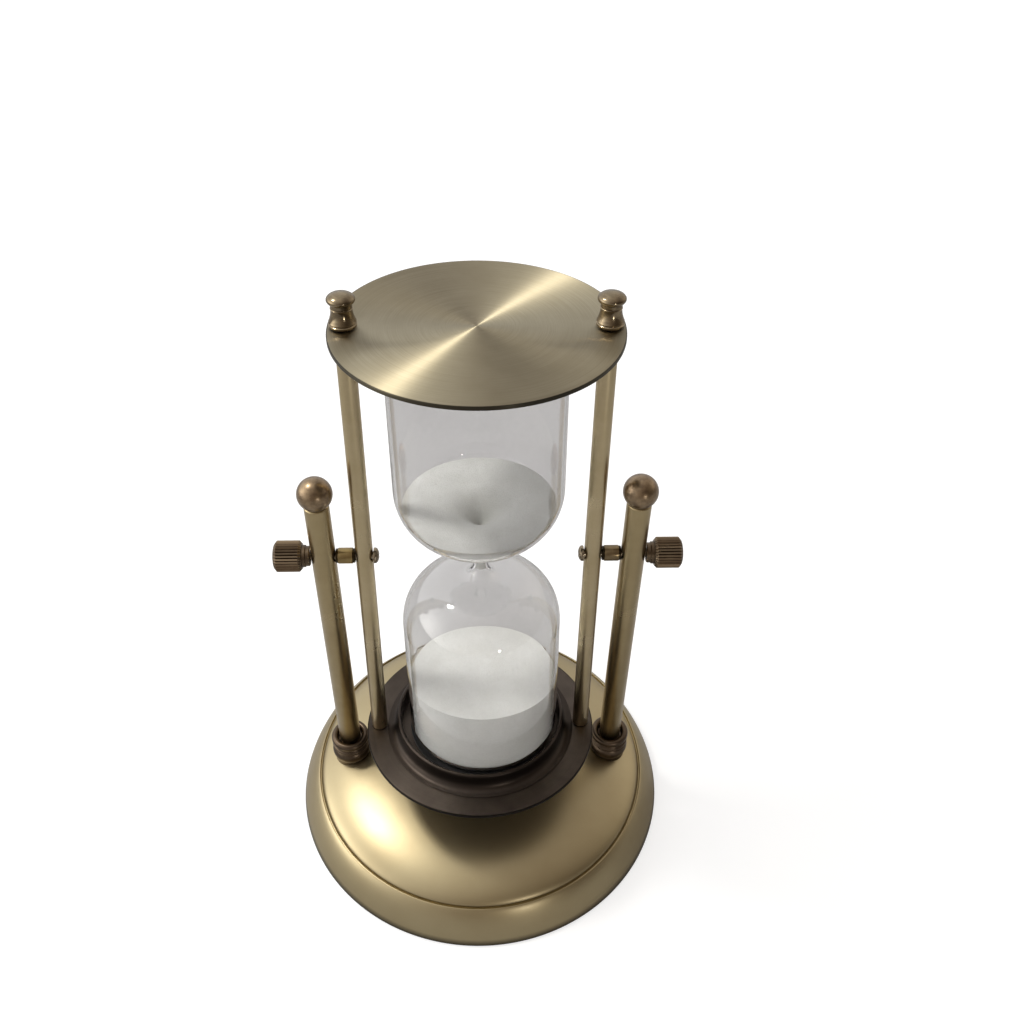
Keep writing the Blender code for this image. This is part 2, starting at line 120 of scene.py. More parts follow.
bpy.ops.object.select_all(action="DESELECT")
bpy.ops.mesh.primitive_plane_add(size=TABLE_SIZE, location=(0, 0, 0))
table = bpy.context.object
table.name = "table_top"
paper = bpy.data.materials.new("pale_paper")
paper.use_nodes = True
tree = paper.node_tree
paper_shader = tree.nodes["Principled BSDF"]
paper_shader.inputs["Base Color"].default_value = TABLE_GREY
paper_shader.inputs["Roughness"].default_value = 0.95
paper_shader.inputs["Specular IOR Level"].default_value = 0.0
paper_shader.inputs["Emission Color"].default_value = (1, 1, 1, 1)
path = tree.nodes.new("ShaderNodeLightPath")
tree.links.new(calculated(tree, "MULTIPLY", path.outputs["Is Camera Ray"], TABLE_GLOW),
               paper_shader.inputs["Emission Strength"])
table.data.materials.append(paper)

world = bpy.data.worlds.new("room")
bpy.context.scene.world = world
world.use_nodes = True
tree = world.node_tree
background = tree.nodes["Background"]
direction = tree.nodes.new("ShaderNodeTexCoord").outputs["Generated"]
slope = calculated(tree, "ADD", along(tree, direction, ROOM_SLOPE), ROOM_MIDDLE)
room = calculated(tree, "MAXIMUM", slope, ROOM_DARKEST)
tint = tree.nodes.new("ShaderNodeMix")
tint.data_type = "RGBA"
tint.inputs["A"].default_value = ROOM_WARM
tint.inputs["B"].default_value = ROOM_COOL
tree.links.new(ranged(tree, slope, 0.15, 0.8, 0.0, 1.0), tint.inputs["Factor"])
light = tree.nodes.new("ShaderNodeVectorMath")
light.operation = "SCALE"
tree.links.new(tint.outputs["Result"], light.inputs[0])
tree.links.new(room, light.inputs["Scale"])
total = light.outputs["Vector"]
for towards, tightness, strength, colour in GLOWS:
    away = calculated(tree, "SUBTRACT", along(tree, direction, Vector(towards).normalized()), 1.0)
    fall = calculated(tree, "MULTIPLY", away, tightness)
    glow = tree.nodes.new("ShaderNodeVectorMath")
    glow.operation = "MULTIPLY_ADD"
    glow.inputs[0].default_value = Vector(colour) * strength
    tree.links.new(calculated(tree, "EXPONENT", fall), glow.inputs[1])
    tree.links.new(total, glow.inputs[2])
    total = glow.outputs["Vector"]
seen = tree.nodes.new("ShaderNodeMix")
seen.data_type = "RGBA"
seen.inputs["B"].default_value = (1, 1, 1, 1)
tree.links.new(total, seen.inputs["A"])
tree.links.new(tree.nodes.new("ShaderNodeLightPath").outputs["Is Camera Ray"], seen.inputs["Factor"])
tree.links.new(seen.outputs["Result"], background.inputs["Color"])
bpy.context.scene.view_settings.view_transform = "Standard"


def round_lamp(name, towards, size, power):
    """A round lamp, in the direction given from the middle of the hourglass, that faces it."""
    data = bpy.data.lights.new(name, "AREA")
    data.shape = "DISK"
    data.size = size
    data.energy = power
    data.color = LAMP_COLOUR
    lamp = bpy.data.objects.new(name, data)
    bpy.context.scene.collection.objects.link(lamp)
    towards = Vector(towards).normalized()
    lamp.matrix_world = (Matrix.Translation(LAMP_TARGET + towards * LAMP_DISTANCE)
                         @ towards.to_track_quat("Z", "Y").to_matrix().to_4x4())


round_lamp("ceiling_lamp", (-0.53, 0.18, 0.83), 0.14, 3.0)
round_lamp("small_lamp", (0.38, -0.91, 0.12), 0.05, 0.6)

# ---- The felt under the base ---------------------------------
# A disc of black wool felt, cut with a round knife and glued under the board, so that the brass rim
# stands just clear of the table. Its cut edge is a little rounded and fibrous.


def arc(centre, radius_r, radius_z, start, end, steps):
    """Points of an elliptical arc in the (radius, height) plane, with angles in degrees from +radius."""
    points = []
    for i in range(steps + 1):
        angle = math.radians(start + (end - start) * i / steps)
        points.append((centre[0] + radius_r * math.cos(angle), centre[1] + radius_z * math.sin(angle)))
    return points


def turned(name, outline, steps, soft_edge=0.0):
    """A piece made on the lathe: one point is extruded along the outline, which is then spun about Z."""
    bpy.ops.object.select_all(action="DESELECT")
    bpy.ops.mesh.primitive_plane_add(size=MM, location=(0, 0, 0))
    piece = bpy.context.object
    piece.name = name
    piece.data.name = name
    bpy.ops.object.mode_set(mode="EDIT")
    bpy.ops.mesh.select_mode(type="VERT")
    bpy.ops.mesh.select_all(action="SELECT")
    bpy.ops.mesh.merge(type="CENTER")
    bpy.ops.transform.translate(value=(outline[0][0], 0, outline[0][1]))
    for (r0, z0), (r1, z1) in zip(outline, outline[1:]):
        bpy.ops.mesh.extrude_vertices_move(TRANSFORM_OT_translate={"value": (r1 - r0, 0, z1 - z0)})
    bpy.ops.mesh.select_all(action="SELECT")
    bpy.ops.mesh.spin(steps=steps, angle=math.tau, center=(0, 0, 0), axis=(0, 0, 1))
    bpy.ops.mesh.select_all(action="SELECT")
    bpy.ops.mesh.remove_doubles(threshold=2e-6)
    bpy.ops.mesh.normals_make_consistent(inside=False)
    bpy.ops.object.mode_set(mode="OBJECT")
    if soft_edge:
        soften(piece, soft_edge)
    bpy.ops.object.shade_smooth_by_angle(angle=math.radians(30))
    return piece


def apply_modifier(piece, modifier):
    bpy.ops.object.select_all(action="DESELECT")
    piece.select_set(True)
    bpy.context.view_layer.objects.active = piece
    bpy.ops.object.modifier_apply(modifier=modifier.name)


def soften(piece, width):
    """Breaks the sharp edges with a small round bevel."""
    bevel = piece.modifiers.new("soft_edge", "BEVEL")
    bevel.limit_method = "ANGLE"
    bevel.angle_limit = math.radians(32)
    bevel.width = width
    bevel.segments = 3
    bevel.use_clamp_overlap = True
    apply_modifier(piece, bevel)


def settle(piece, at=(0, 0, 0), turn=(0, 0, 0)):
    """Puts a piece in its place, and the place in its mesh."""
    bpy.ops.object.select_all(action="DESELECT")
    piece.select_set(True)
    bpy.context.view_layer.objects.active = piece
    piece.location = at
    piece.rotation_euler = turn
    bpy.ops.object.transform_apply(location=True, rotation=True, scale=True)
    return piece


def dress(piece, material, body, slot, *stands_for):
    """Gives a finished piece its material, its body and the nodes that it stands for. slot is not used."""
    piece.data.materials.clear()
    piece.data.materials.append(material)
    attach(piece, body)
    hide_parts(*stands_for)


def new_material(name):
    material = bpy.data.materials.new(name)
    material.use_nodes = True
    return material, material.node_tree, material.node_tree.nodes["Principled BSDF"]


def object_place(tree, at=(0, 0, 0), turn=(0, 0, 0)):
    """A piece's own coordinates: the object's, measured from where the piece was settled."""
    coordinates = tree.nodes.new("ShaderNodeTexCoord")
    mapping = tree.nodes.new("ShaderNodeMapping")
    mapping.vector_type = "TEXTURE"
    mapping.inputs["Location"].default_value = at
    mapping.inputs["Rotation"].default_value = turn
    tree.links.new(coordinates.outputs["Object"], mapping.inputs["Vector"])
    return mapping.outputs["Vector"]


def noise(tree, vector, scale, detail=4.0, roughness=0.55):
    """Soft random variation, with that many waves to a metre."""
    texture = tree.nodes.new("ShaderNodeTexNoise")
    texture.inputs["Scale"].default_value = scale
    texture.inputs["Detail"].default_value = detail
    texture.inputs["Roughness"].default_value = roughness
    tree.links.new(vector, texture.inputs["Vector"])
    return texture.outputs["Fac"]


def blended(tree, factor, a, b):
    """Two colours mixed by a factor. Each colour is three numbers or a socket."""
    mix = tree.nodes.new("ShaderNodeMix")
    mix.data_type = "RGBA"
    for socket, colour in (("A", a), ("B", b)):
        if isinstance(colour, tuple):
            mix.inputs[socket].default_value = (*colour, 1.0)
        else:
            tree.links.new(colour, mix.inputs[socket])
    tree.links.new(factor, mix.inputs["Factor"])
    return mix.outputs["Result"]


def bumped(tree, shader, height, strength, distance):
    """Relief too fine for the mesh, as high as the distance in metres."""
    bump = tree.nodes.new("ShaderNodeBump")
    bump.inputs["Strength"].default_value = strength
    bump.inputs["Distance"].default_value = distance
    tree.links.new(height, bump.inputs["Height"])
    tree.links.new(bump.outputs["Normal"], shader.inputs["Normal"])


def felt(name):
    """Pressed wool: short fibres in every direction, grey where they catch the light."""
    material, tree, shader = new_material(name)
    place = object_place(tree)
    fibres = noise(tree, place, 2600.0, 6.0, 0.7)
    clumps = noise(tree, place, 260.0, 3.0)
    lit = ranged(tree, fibres, 0.35, 0.7, 0.0, 1.0)
    tone = blended(tree, lit, (0.009, 0.009, 0.010), (0.045, 0.043, 0.042))
    tone = blended(tree, ranged(tree, clumps, 0.4, 0.6, 0.0, 0.35), tone, (0.03, 0.03, 0.032))
    tree.links.new(tone, shader.inputs["Base Color"])
    shader.inputs["Roughness"].default_value = 1.0
    shader.inputs["Specular IOR Level"].default_value = 0.15
    shader.inputs["Sheen Weight"].default_value = 0.35
    shader.inputs["Sheen Roughness"].default_value = 0.5
    bumped(tree, shader, fibres, 0.7, 0.00025)
    return material


FELT_EDGE = 0.45 * MM
felt_low, felt_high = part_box("base_felt")
felt_radius = felt_high.x
felt_outline = ([(0, felt_low.z)]
                + arc((felt_radius - FELT_EDGE, felt_low.z + FELT_EDGE), FELT_EDGE, FELT_EDGE, -90, 0, 4)
                + arc((felt_radius - FELT_EDGE, felt_high.z - FELT_EDGE), FELT_EDGE, FELT_EDGE, 0, 90, 4)
                + [(0, felt_high.z)])
black_felt = felt("black_felt")
felt_disc = turned("felt_disc", felt_outline, 144)
dress(felt_disc, black_felt, "stand", "black_felt", "base_felt")

# ---- The board in the base -----------------------------------
# A sawn disc of brown hardboard that closes the hollow base and takes the felt. It is out of sight, so the
# plain disc stays, with pressed-fibre colour.


def hardboard():
    material, tree, shader = new_material("pressed_hardboard")
    place = object_place(tree)
    fibres = noise(tree, place, 700.0, 6.0, 0.65)
    tone = blended(tree, ranged(tree, fibres, 0.3, 0.7, 0.0, 1.0), (0.17, 0.10, 0.055), (0.34, 0.22, 0.13))
    tree.links.new(tone, shader.inputs["Base Color"])
    tree.links.new(ranged(tree, fibres, 0.3, 0.7, 0.7, 0.9), shader.inputs["Roughness"])
    bumped(tree, shader, fibres, 0.5, 0.0002)
    return material


def paint_node(name, material):
    """A node of the frame that stays as it is, with a finished material."""
    mesh = nodes[name].data
    mesh.materials.clear()
    mesh.materials.append(material)


paint_node("base_board", hardboard())

# ---- The base shell ------------------------------------------
# One disc of 1.2 mm brass sheet, spun over a former into a dome with a crease and a sloping outer band,
# brushed while it turned, darkened to an antique tone and lacquered. Two holes take the posts' studs.
SHELL_WALL = 1.2 * MM
CREASE_RADIUS = 66.0 * MM
CREASE_HEIGHT = 14.6 * MM
CREASE_DEPTH = 0.9 * MM
CREASE_HALF = 0.45 * MM
BAND_START = CREASE_RADIUS + 0.9 * MM
BAND_TOP = CREASE_HEIGHT + 0.4 * MM
BAND_FULLNESS = 1.6
DOME_SQUARENESS = 2.6
DOME_FULLNESS = 0.6
STUD_HOLE = 3.0 * MM
LATHE_STEPS = 192

shell_low, shell_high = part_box("base_dome")
shell_radius = shell_high.x
dome_rise = shell_high.z - CREASE_HEIGHT


def dome_height(radius):
    """The height of the dome's outer face, a broad flattened curve that steepens towards the crease."""
    fall = max(0.0, 1 - (radius / CREASE_RADIUS) ** DOME_SQUARENESS)
    return CREASE_HEIGHT + dome_rise * fall ** DOME_FULLNESS


def dome_outline(lift, steps=30):
    radii = [CREASE_RADIUS * math.sin(math.pi / 2 * i / steps) for i in range(steps + 1)]
    return [(radius, dome_height(radius) + lift) for radius in radii]


def band_outline(inset, steps=16):
    points = []
    for i in range(steps + 1):
        angle = math.pi / 2 * i / steps
        out = math.sin(angle) ** BAND_FULLNESS
        up = math.cos(angle) ** BAND_FULLNESS
        points.append((BAND_START - inset + (shell_radius - BAND_START) * out,
                       shell_low.z + (BAND_TOP - inset - shell_low.z) * up))
    return points


def cut(piece, cutter):
    """Cuts a helper's shape out of a piece, and clears the helper away."""
    boolean = piece.modifiers.new("cut", "BOOLEAN")
    boolean.operation = "DIFFERENCE"
    boolean.object = cutter
    apply_modifier(piece, boolean)
    bpy.data.objects.remove(cutter, do_unlink=True)
    bpy.ops.object.shade_smooth_by_angle(angle=math.radians(30))


def drill(piece, radius, depth, at, turn=(0, 0, 0)):
    """A round hole, made with a drill of that radius centred at a place."""
    bpy.ops.object.select_all(action="DESELECT")
    bpy.ops.mesh.primitive_cylinder_add(vertices=48, radius=radius, depth=depth, location=at, rotation=turn)
    cut(piece, bpy.context.object)


LINES_TO_A_METRE = 4200.0
SPECKS_TO_A_METRE = 2400.0


def brass(name, light, dark, roughness, at=(0, 0, 0), turn=(0, 0, 0), lines=0.5, stretch=0.0,
          patches=70.0, worn=0.5, shade_and_patina=0.6, lacquer=0.0, dark_band=None):
    """Aged brass, brushed round its own axis.

    light and dark are its tones, lines how strong the brush marks are, and stretch how far they draw a
    highlight out from the axis. patches is the number of tarnish clouds to a metre, worn how bare its edges
    are, shade_and_patina how dark its hollows are painted, for painted shade and the patina that lies there,
    and dark_band a pair of radii between which it is painted near black.
    """
    material, tree, shader = new_material(name)
    place = object_place(tree, at, turn)
    split = tree.nodes.new("ShaderNodeSeparateXYZ")
    tree.links.new(place, split.inputs[0])
    flat = tree.nodes.new("ShaderNodeCombineXYZ")
    tree.links.new(split.outputs["X"], flat.inputs["X"])
    tree.links.new(split.outputs["Y"], flat.inputs["Y"])
    length = tree.nodes.new("ShaderNodeVectorMath")
    length.operation = "LENGTH"
    tree.links.new(flat.outputs[0], length.inputs[0])
    radius = length.outputs["Value"]
    around = tree.nodes.new("ShaderNodeVectorMath")
    around.operation = "NORMALIZE"
    tree.links.new(flat.outputs[0], around.inputs[0])
    profile = calculated(tree, "ADD", radius, split.outputs["Z"])
    profile = calculated(tree, "MULTIPLY", profile, LINES_TO_A_METRE)
    step = tree.nodes.new("ShaderNodeCombineXYZ")
    tree.links.new(profile, step.inputs["Z"])
    grain = tree.nodes.new("ShaderNodeVectorMath")
    grain.operation = "ADD"
    tree.links.new(around.outputs["Vector"], grain.inputs[0])
    tree.links.new(step.outputs[0], grain.inputs[1])
    marks = noise(tree, grain.outputs["Vector"], 1.0, 2.0, 0.6)
    clouds = noise(tree, place, patches, 5.0, 0.6)
    specks = noise(tree, place, SPECKS_TO_A_METRE, 2.0)

    tone = blended(tree, ranged(tree, clouds, 0.32, 0.68, 0.0, 1.0), light, dark)
    tone = blended(tree, ranged(tree, marks, 0.35, 0.70, 0.0, 0.6 * lines), tone, dark)
    tone = blended(tree, ranged(tree, specks, 0.64, 0.80, 0.0, 0.4), tone, dark)
    # Bare edges are wear. The hollows are painted darker: painted shade, with the patina that lies there.
    geometry = tree.nodes.new("ShaderNodeNewGeometry")
    bare = tuple(min(1.0, c * 1.3) for c in light)
    shade_and_patina_tone = tuple(c * 0.3 for c in dark)
    tone = blended(tree, ranged(tree, geometry.outputs["Pointiness"], 0.52, 0.60, 0.0, worn), tone, bare)
    tone = blended(tree, ranged(tree, geometry.outputs["Pointiness"], 0.40, 0.49, shade_and_patina, 0.0), tone, shade_and_patina_tone)
    # Between two radii it is painted near black: painted shade on the base's bottom edge and in the spacers'
    # stepped ends, and a dark band at the plates' rims.
    if dark_band:
        black = tuple(c * 0.12 for c in dark)
        tone = blended(tree, ranged(tree, radius, *dark_band, 0.0, 0.95), tone, black)
    tree.links.new(tone, shader.inputs["Base Color"])
    shader.inputs["Metallic"].default_value = 1.0
    shader.inputs["Coat Weight"].default_value = lacquer
    shader.inputs["Coat Roughness"].default_value = 0.25

    rough = ranged(tree, marks, 0.30, 0.70, roughness - 0.03 * lines, roughness + 0.04 * lines)
    rough = calculated(tree, "ADD", rough, ranged(tree, clouds, 0.35, 0.70, -0.02, 0.03))
    tree.links.new(rough, shader.inputs["Roughness"])
    if stretch:
        shader.inputs["Anisotropic"].default_value = stretch
        outward = tree.nodes.new("ShaderNodeVectorMath")
        outward.operation = "SUBTRACT"
        outward.inputs[1].default_value = at
        tree.links.new(tree.nodes.new("ShaderNodeTexCoord").outputs["Object"], outward.inputs[0])
        tree.links.new(outward.outputs["Vector"], shader.inputs["Tangent"])
    bumped(tree, shader, marks, 0.3 * lines, 0.00001)
    return material


SATIN_LIGHT = (0.45, 0.375, 0.225)
SATIN_DARK = (0.38, 0.305, 0.175)
shell_outline = dome_outline(0.0)[:-1]
shell_outline += arc((CREASE_RADIUS + CREASE_HALF, CREASE_HEIGHT), CREASE_HALF, CREASE_DEPTH, 180, 350, 10)
shell_outline += band_outline(0.0)
inner_dome = [(r, z) for r, z in dome_outline(-SHELL_WALL, 14) if r < CREASE_RADIUS - 3 * MM]
shell_outline += (inner_dome + band_outline(SHELL_WALL, 8)[1:])[::-1]
base_shell = turned("base_shell", shell_outline, LATHE_STEPS, 0.25 * MM)
posts_apart = {side: sum(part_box(f"{side}_post"), Vector()).x / 2 for side in ("left", "right")}
for post_x in posts_apart.values():
    drill(base_shell, STUD_HOLE, 30 * MM, (post_x, 0, dome_height(abs(post_x))))
# Painted shade: the crease and other hollows are painted darker, with their patina, and the bottom edge of the
# band is painted near black.
spun_satin = brass("spun_satin_brass", SATIN_LIGHT, SATIN_DARK, 0.37, lines=0.12, patches=18.0, worn=0.9,
                   shade_and_patina=0.9, lacquer=0.25, dark_band=(shell_radius - 0.9 * MM, shell_radius - 0.1 * MM))
dress(base_shell, spun_satin, "stand", "antique_brass", "base_dome")

# ---- Nuts and washers inside the base ------------------------
# A zinc-plated washer and hexagon nut hold each post's stud from inside the shell. They are out of sight,
# so the plain pieces stay, with a plated finish.


def zinc():
    material, tree, shader = new_material("plated_zinc")
    place = object_place(tree)
    spangle = noise(tree, place, 900.0, 3.0)
    tone = blended(tree, ranged(tree, spangle, 0.35, 0.65, 0.0, 1.0), (0.50, 0.51, 0.52), (0.64, 0.64, 0.63))
    tree.links.new(tone, shader.inputs["Base Color"])
    shader.inputs["Metallic"].default_value = 1.0
    tree.links.new(ranged(tree, spangle, 0.35, 0.65, 0.28, 0.42), shader.inputs["Roughness"])
    return material


plated_zinc = zinc()
for side in posts_apart:
    paint_node(f"{side}_post_washer", plated_zinc)
    paint_node(f"{side}_post_nut", plated_zinc)

# ---- Collars -------------------------------------------------
# A cast cup of dark brass at the foot of each post: a beaded lip, a groove, a small ridge and a bulged
# body whose underside is filed to the dome. The post stands on its floor.
COLLAR_CUP = 4.8 * MM
COLLAR_CUP_DEPTH = 3.3 * MM
COLLAR_BEAD = (6.15 * MM, -1.7 * MM)
CAST_LIGHT = (0.125, 0.092, 0.064)
CAST_DARK = (0.075, 0.054, 0.038)

collar_low, collar_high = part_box("right_post_collar")
collar_radius = (collar_high.x - collar_low.x) / 2
post_foot = collar_high.z - COLLAR_CUP_DEPTH


def collar_outline():
    """From the floor of the cup over the lip and down the outside, past the dome that cuts its foot."""
    top = collar_high.z
    bead = arc((COLLAR_BEAD[0], top + COLLAR_BEAD[1]), 1.35 * MM, 1.7 * MM, 180, -62, 16)
    groove = arc((7.3 * MM, top - 3.9 * MM), 0.55 * MM, 0.5 * MM, 120, 240, 5)
    ridge = arc((6.75 * MM, top - 5.1 * MM), 0.62 * MM, 0.7 * MM, 70, -60, 6)
    body = arc((collar_radius - 2.6 * MM, top - 9.0 * MM), 2.6 * MM, 3.4 * MM, 82, -52, 12)
    foot = [(collar_radius - 0.6 * MM, collar_low.z - 3 * MM), (STUD_HOLE, collar_low.z - 3 * MM)]
    ring = [(STUD_HOLE, post_foot), (COLLAR_CUP, post_foot)] + bead + groove + ridge + body + foot
    return ring + ring[:1]


for side, post_x in posts_apart.items():
    collar = settle(turned(f"{side}_collar", collar_outline(), 96, 0.12 * MM), (post_x, 0, 0))
    saddle = turned("saddle", dome_outline(0.4 * MM, 18) + [(CREASE_RADIUS, 5 * MM), (0, 5 * MM)], 96)
    cut(collar, saddle)
    dress(collar, brass(f"dark_cast_brass_{side}", CAST_LIGHT, CAST_DARK, 0.33, (post_x, 0, 0), lines=0.2,
                        patches=160.0, worn=0.5), "stand", "dark_brass", f"{side}_post_collar")

# ---- Posts ---------------------------------------------------
# A drawn brass bar at each side, satin lacquered, with a stud below, a threaded hole above for the ball,
# and a cross hole for the pivot screw.
POST_EDGE = 0.35 * MM
STUD_RADIUS = 2.4 * MM
BALL_STUD_HOLE = 1.9 * MM
BORE_RADIUS = 1.8 * MM
BORE_MARGIN = 0.8 * MM
BALL_STUD_DEPTH = 7.7 * MM
BAR_LIGHT = (0.44, 0.35, 0.195)
BAR_DARK = (0.36, 0.28, 0.15)

pivot_height = next(joint["pos_m"][2] for joint in frame["joints"] if joint["name"] == "frame_flip")
post_low, post_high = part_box("right_post")
post_radius = (post_high.x - post_low.x) / 2


def post_outline():
    """The ball stud's hole, the bar with a ring of points either side of its cross hole, and the stud."""
    top = post_high.z
    foot = post_foot + 0.3 * MM
    bore = BORE_RADIUS + BORE_MARGIN
    return [(0, top - BALL_STUD_DEPTH), (BALL_STUD_HOLE, top - BALL_STUD_DEPTH), (BALL_STUD_HOLE, top),
            (post_radius - POST_EDGE, top), (post_radius, top - POST_EDGE),
            (post_radius, pivot_height + bore), (post_radius, pivot_height - bore),
            (post_radius, foot + POST_EDGE), (post_radius - POST_EDGE, foot),
            (STUD_RADIUS, foot), (STUD_RADIUS, post_low.z), (0, post_low.z)]


for side, post_x in posts_apart.items():
    post = settle(turned(f"{side}_upright", post_outline(), 72, 0.08 * MM), (post_x, 0, 0))
    drill(post, BORE_RADIUS, 20 * MM, (post_x, 0, pivot_height), (0, math.pi / 2, 0))
    satin = brass(f"satin_bar_brass_{side}", BAR_LIGHT, BAR_DARK, 0.29, (post_x, 0, 0), lines=0.12,
                  patches=60.0, worn=0.0, shade_and_patina=0.0, lacquer=0.2)
    dress(post, satin, "stand", "antique_brass", f"{side}_post")

# ---- Ball tops -----------------------------------------------
# A turned ball closes each post. Handling has rubbed its brown patina unevenly, so it is mottled, with
# a bright crown. A stud below screws into the post.
ball_low, ball_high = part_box("right_post_ball")
ball_radius = (ball_high.x - ball_low.x) / 2
ball_centre = ball_high.z - ball_radius
BALL_SEAT = 4.0 * MM
BALL_STUD = 1.6 * MM
BALL_LIGHT = (0.33, 0.235, 0.135)
BALL_DARK = (0.17, 0.115, 0.065)


def ball_outline():
    low = -math.degrees(math.acos(BALL_SEAT / ball_radius))
    side = arc((0, ball_centre), ball_radius, ball_radius, 90, low, 34)
    seat = side[-1][1]
    return [(0, ball_high.z)] + side[1:] + [(BALL_STUD, seat), (BALL_STUD, ball_low.z), (0, ball_low.z)]


for side, post_x in posts_apart.items():
    ball = settle(turned(f"{side}_ball", ball_outline(), 72), (post_x, 0, 0))
    mottled = brass(f"mottled_brass_{side}", BALL_LIGHT, BALL_DARK, 0.33, (post_x, 0, ball_centre), lines=0.2,
                    patches=420.0, worn=0.0, lacquer=0.5)
    dress(ball, mottled, "stand", "dark_brass", f"{side}_post_ball")

# ---- Spacers -------------------------------------------------
# A short turned tube on the pivot screw keeps each rod clear of its post. Its ends are stepped down, and
# the steps are painted near black as painted shade. The left one is a newer, yellower brass than the right
# one.
SPACER_STEP = 0.8 * MM
SPACER_STEP_DEPTH = 0.25 * MM
SPACER_TONES = {"left": ((0.36, 0.265, 0.115), (0.22, 0.155, 0.07)),
                "right": ((0.26, 0.19, 0.10), (0.15, 0.11, 0.065))}


def across(side):
    """The turn that lays a piece's own axis along the pivot, pointing outwards."""
    return (0, math.pi / 2 if side == "right" else -math.pi / 2, 0)


pivot = (0, 0, pivot_height)
spacer_low, spacer_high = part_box("right_spacer")
spacer_radius = (spacer_high.z - spacer_low.z) / 2 + 0.1 * MM


def spacer_outline():
    neck = spacer_radius - SPACER_STEP_DEPTH
    inner = spacer_low.x - 0.2 * MM
    outer = spacer_high.x + 0.2 * MM
    ring = [(BORE_RADIUS, outer), (neck, outer), (neck, outer - SPACER_STEP),
            (spacer_radius, outer - SPACER_STEP), (spacer_radius, inner + SPACER_STEP),
            (neck, inner + SPACER_STEP), (neck, inner), (BORE_RADIUS, inner)]
    return ring + ring[:1]


for side, (spacer_light, spacer_dark) in SPACER_TONES.items():
    spacer = settle(turned(f"{side}_spacer_tube", spacer_outline(), 64, 0.1 * MM), pivot, across(side))
    # Painted shade: the stepped ends are painted near black.
    stepped = brass(f"spacer_brass_{side}", spacer_light, spacer_dark, 0.30, pivot, across(side),
                    patches=260.0, worn=0.2, dark_band=(spacer_radius - 0.05 * MM, spacer_radius - 0.2 * MM))
    dress(spacer, stepped, "stand", "dark_brass", f"{side}_spacer")

# ---- Thumb nuts ----------------------------------------------
# A nut turned from bar, with a plain stepped neck against the post and a grip cut with straight ribs.
# Brown patina and painted shade darken the grooves, and the tops of the ribs are rubbed bright.
NUT_RIBS = 30
RIB_POINTS = 6
RIB_DEPTH = 0.5 * MM
NUT_NECK = 3.85 * MM
NUT_NECK_LENGTH = 3.2 * MM
GRIP_LIGHT = (0.17, 0.125, 0.080)
GRIP_DARK = (0.085, 0.060, 0.040)

nut_low, nut_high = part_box("right_thumb_nut")
nut_radius = (nut_high.z - nut_low.z) / 2 + 0.2 * MM
shank_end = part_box("right_pivot_screw")[1].x


def nut_outline():
    start = nut_low.x
    end = nut_high.x
    grip = start + NUT_NECK_LENGTH - 0.5 * MM
    hole = shank_end + 1 * MM
    crown = arc((0, end - 0.35 * MM), nut_radius - 1.5 * MM, 0.35 * MM, 90, 0, 6)
    body = [(nut_radius - 1.1 * MM, end - 0.45 * MM), (nut_radius, end - 1.3 * MM),
            (nut_radius, grip + 0.9 * MM), (nut_radius - 1.0 * MM, grip)]
    neck = [(NUT_NECK, grip), (NUT_NECK, grip - 1.1 * MM), (NUT_NECK - 0.35 * MM, grip - 1.4 * MM),
            (NUT_NECK - 0.35 * MM, start + 0.3 * MM), (NUT_NECK - 0.65 * MM, start)]
    return crown + body + neck + [(BORE_RADIUS, start), (BORE_RADIUS, hole), (0, hole)]


def cut_ribs(nut):
    """Every rib is a wave of six lines of points, each drawn in by its share of the depth."""
    lines = NUT_RIBS * RIB_POINTS
    for k in range(1, RIB_POINTS):
        depth = RIB_DEPTH * (1 - math.cos(math.tau * k / RIB_POINTS)) / 2
        shrink = (nut_radius - depth) / nut_radius
        bpy.ops.object.mode_set(mode="EDIT")
        bpy.ops.mesh.select_all(action="DESELECT")
        bpy.ops.object.mode_set(mode="OBJECT")
        for vertex in nut.data.vertices:
            line = round(math.atan2(vertex.co.y, vertex.co.x) / (math.tau / lines))
            on_grip = math.hypot(vertex.co.x, vertex.co.y) > nut_radius - 0.05 * MM
            vertex.select = on_grip and line % RIB_POINTS == k
        bpy.ops.object.mode_set(mode="EDIT")
        bpy.ops.transform.resize(value=(shrink, shrink, 1.0), center_override=(0, 0, 0))
        bpy.ops.object.mode_set(mode="OBJECT")
    bpy.ops.object.shade_smooth_by_angle(angle=math.radians(38))


for side in posts_apart:
    nut = turned(f"{side}_knurled_nut", nut_outline(), NUT_RIBS * RIB_POINTS)
    cut_ribs(nut)
    settle(nut, pivot, across(side))
    rubbed = brass(f"knurled_brass_{side}", GRIP_LIGHT, GRIP_DARK, 0.30, pivot, across(side), lines=0.2,
                   patches=260.0, worn=1.0, shade_and_patina=0.95)
    dress(nut, rubbed, f"{side}_knob", "dark_brass", f"{side}_thumb_nut")

# ---- Pivot screws --------------------------------------------
# A pan-head machine screw runs out through the rod, the spacer and the post into the thumb nut, and the
# cage swings on the pair of them. The head has a cross recess.
HEAD_RADIUS = 2.7 * MM
HEAD_RIM = 0.5 * MM
SHANK_RADIUS = 1.5 * MM
RECESS_LENGTH = 2.9 * MM
RECESS_WIDTH = 0.62 * MM
RECESS_DEPTH = 0.8 * MM
SCREW_LIGHT = (0.40, 0.33, 0.24)
SCREW_DARK = (0.18, 0.14, 0.09)

screw_low, screw_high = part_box("right_pivot_screw")
rod_low, rod_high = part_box("right_rod")
rod_radius = (rod_high.x - rod_low.x) / 2
head_seat = rod_low.x - 0.3 * MM


